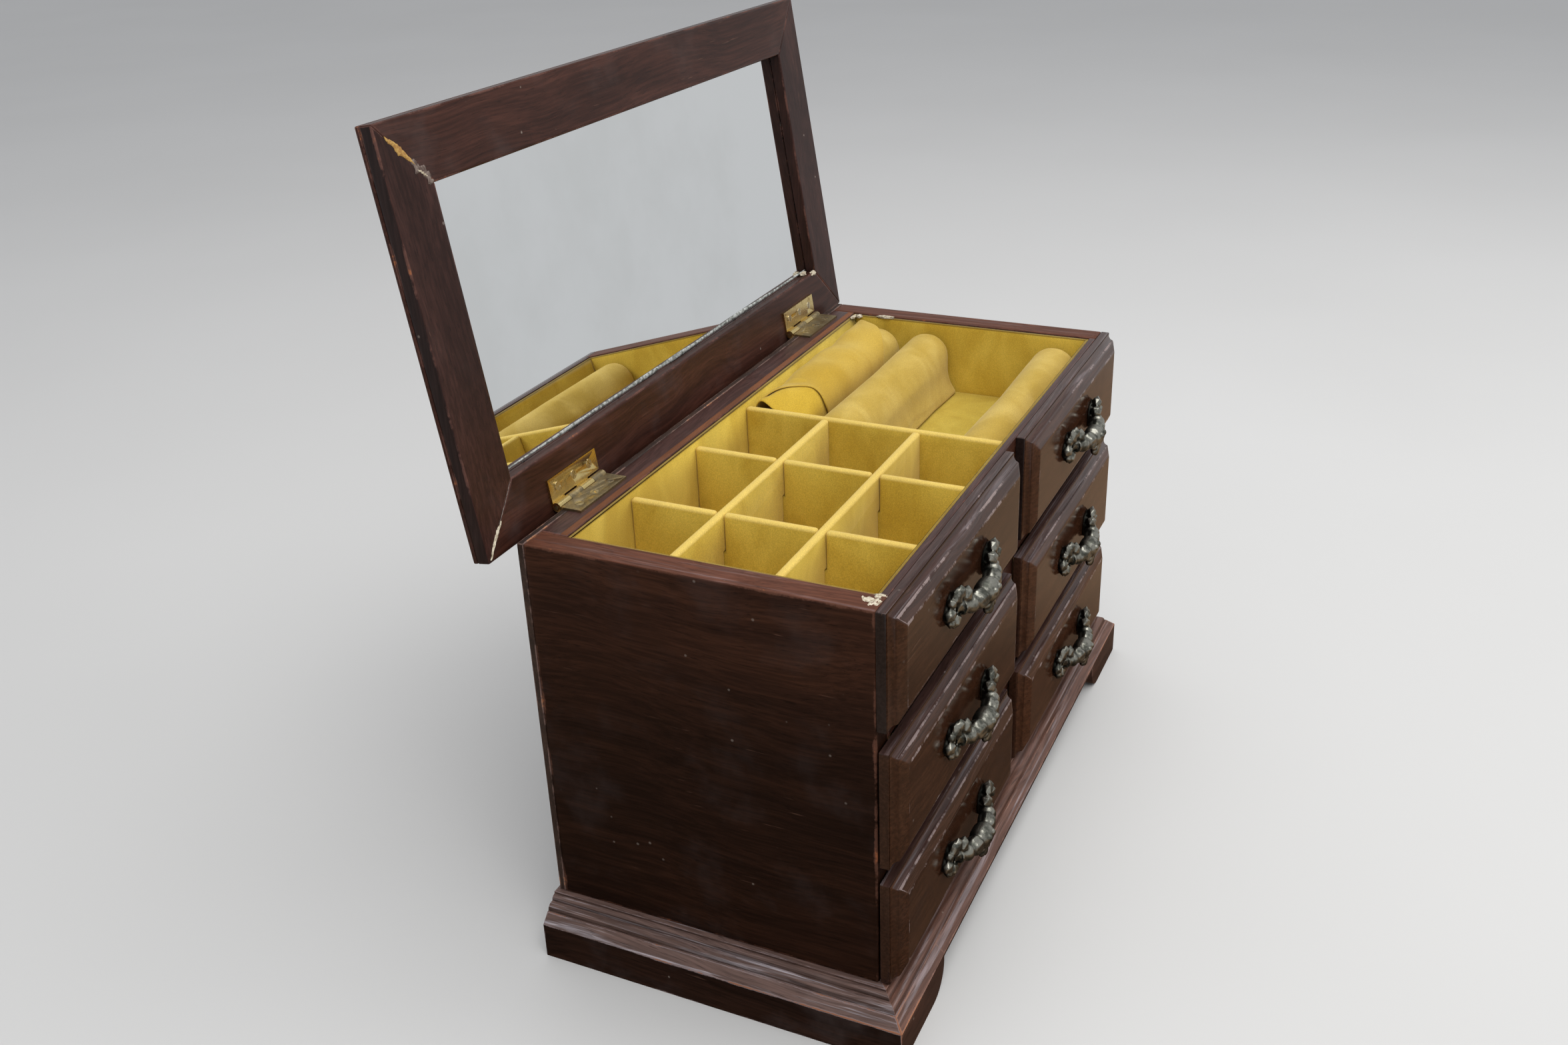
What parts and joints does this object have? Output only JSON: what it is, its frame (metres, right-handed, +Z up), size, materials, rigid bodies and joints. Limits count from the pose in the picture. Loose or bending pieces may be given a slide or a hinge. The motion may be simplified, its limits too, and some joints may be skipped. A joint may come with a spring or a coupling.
{
  "type": "miniature chest of drawers",
  "caption": "Small stained-wood chest of drawers on a moulded plinth, with sliding drawers, cast pulls, and a mirrored lid hinged over a velvet-lined divided tray.",
  "frame": {"origin": "on the floor, under the middle of the overall box with the lid open and the drawers shut", "axes": "+X to the right as seen from the front, -Y towards the front, +Z up"},
  "size_m": [0.3084, 0.188, 0.3194],
  "materials": {
    "stained_wood": "worn satin lacquer",
    "plain_wood": "bare",
    "velvet": "short pile",
    "brass": "tarnished",
    "cast_metal": "antiqued",
    "mirror": "aged silvering"
  },
  "bodies": {
    "case": {"left_side_panel": "stained_wood", "right_side_panel": "stained_wood", "back_panel": "stained_wood", "back_top_rail": "stained_wood", "tray_front_wall": "stained_wood", "tray_bottom_board": "stained_wood", "middle_shelf": "stained_wood", "case_bottom_board": "stained_wood", "centre_partitions": "stained_wood", "centre_stiles": "stained_wood", "plinth_front_rail": "stained_wood", "plinth_left_rail": "stained_wood", "plinth_right_rail": "stained_wood", "false_front_left": "stained_wood", "false_front_right": "stained_wood", "tray_wall_linings": "velvet", "tray_floor_lining": "velvet", "long_divider_front": "velvet", "long_divider_back": "velvet", "cross_divider_left": "velvet", "cross_divider_middle": "velvet", "cross_divider_right": "velvet", "ring_roll_back": "velvet", "ring_roll_middle": "velvet", "ring_roll_front": "velvet", "loose_roll_cover": "velvet", "case_hinge_leaves": "brass", "hinge_pins": "brass", "case_hinge_screws": "brass", "false_front_pull_left": "cast_metal", "false_front_pull_right": "cast_metal"},
    "lid": {"lid_front_rail": "stained_wood", "lid_back_rail": "stained_wood", "lid_left_stile": "stained_wood", "lid_right_stile": "stained_wood", "lid_top_board": "stained_wood", "mirror": "mirror", "lid_hinge_leaves": "brass", "lid_hinge_screws": "brass"},
    "bottom_left_drawer": {"bottom_left_drawer_front": "stained_wood", "bottom_left_drawer_box": "plain_wood", "bottom_left_drawer_bottom": "plain_wood", "bottom_left_drawer_lining": "velvet", "bottom_left_drawer_pull": "cast_metal"},
    "bottom_right_drawer": {"bottom_right_drawer_front": "stained_wood", "bottom_right_drawer_box": "plain_wood", "bottom_right_drawer_bottom": "plain_wood", "bottom_right_drawer_lining": "velvet", "bottom_right_drawer_pull": "cast_metal"},
    "middle_left_drawer": {"middle_left_drawer_front": "stained_wood", "middle_left_drawer_box": "plain_wood", "middle_left_drawer_bottom": "plain_wood", "middle_left_drawer_lining": "velvet", "middle_left_drawer_pull": "cast_metal"},
    "middle_right_drawer": {"middle_right_drawer_front": "stained_wood", "middle_right_drawer_box": "plain_wood", "middle_right_drawer_bottom": "plain_wood", "middle_right_drawer_lining": "velvet", "middle_right_drawer_pull": "cast_metal"}
  },
  "joints": [
    {"name": "lid_hinge", "type": "hinge", "parent": "case", "child": "lid", "pos_m": [0, 0.06141, 0.1758], "axis": [-1, 0, 0], "range_deg": [-99.4, 0]},
    {"name": "bottom_left_drawer_slide", "type": "slide", "parent": "case", "child": "bottom_left_drawer", "axis": [0, -1, 0], "range_m": [0, 0.1]},
    {"name": "bottom_right_drawer_slide", "type": "slide", "parent": "case", "child": "bottom_right_drawer", "axis": [0, -1, 0], "range_m": [0, 0.1]},
    {"name": "middle_left_drawer_slide", "type": "slide", "parent": "case", "child": "middle_left_drawer", "axis": [0, -1, 0], "range_m": [0, 0.1]},
    {"name": "middle_right_drawer_slide", "type": "slide", "parent": "case", "child": "middle_right_drawer", "axis": [0, -1, 0], "range_m": [0, 0.1]}
  ]
}
